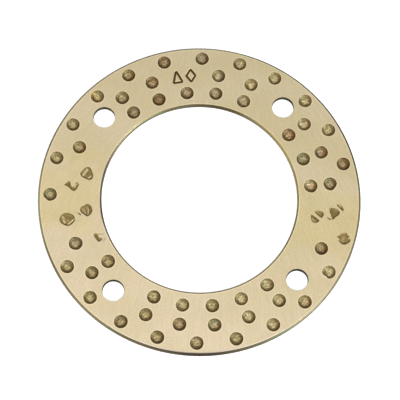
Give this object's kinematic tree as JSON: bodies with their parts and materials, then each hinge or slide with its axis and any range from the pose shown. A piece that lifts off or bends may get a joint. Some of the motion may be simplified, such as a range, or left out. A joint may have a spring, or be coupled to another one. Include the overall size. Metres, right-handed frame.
{
  "type": "thrust washer",
  "caption": "Flat bronze thrust washer with a large bore, four fixing holes and staggered rings of round lubricant pockets in its running face, some of them worn.",
  "frame": {"origin": "on the bore's axis, on the plain back face that the washer rests on", "axes": "+Z along the bore's axis, out of the running face with the pockets; the four fixing holes lie on the diagonals between X and Y"},
  "size_m": [0.1, 0.1, 0.002],
  "materials": {
    "bronze": "brushed, matt"
  },
  "bodies": {
    "root": {"thrust_washer": "bronze"}
  },
  "joints": []
}
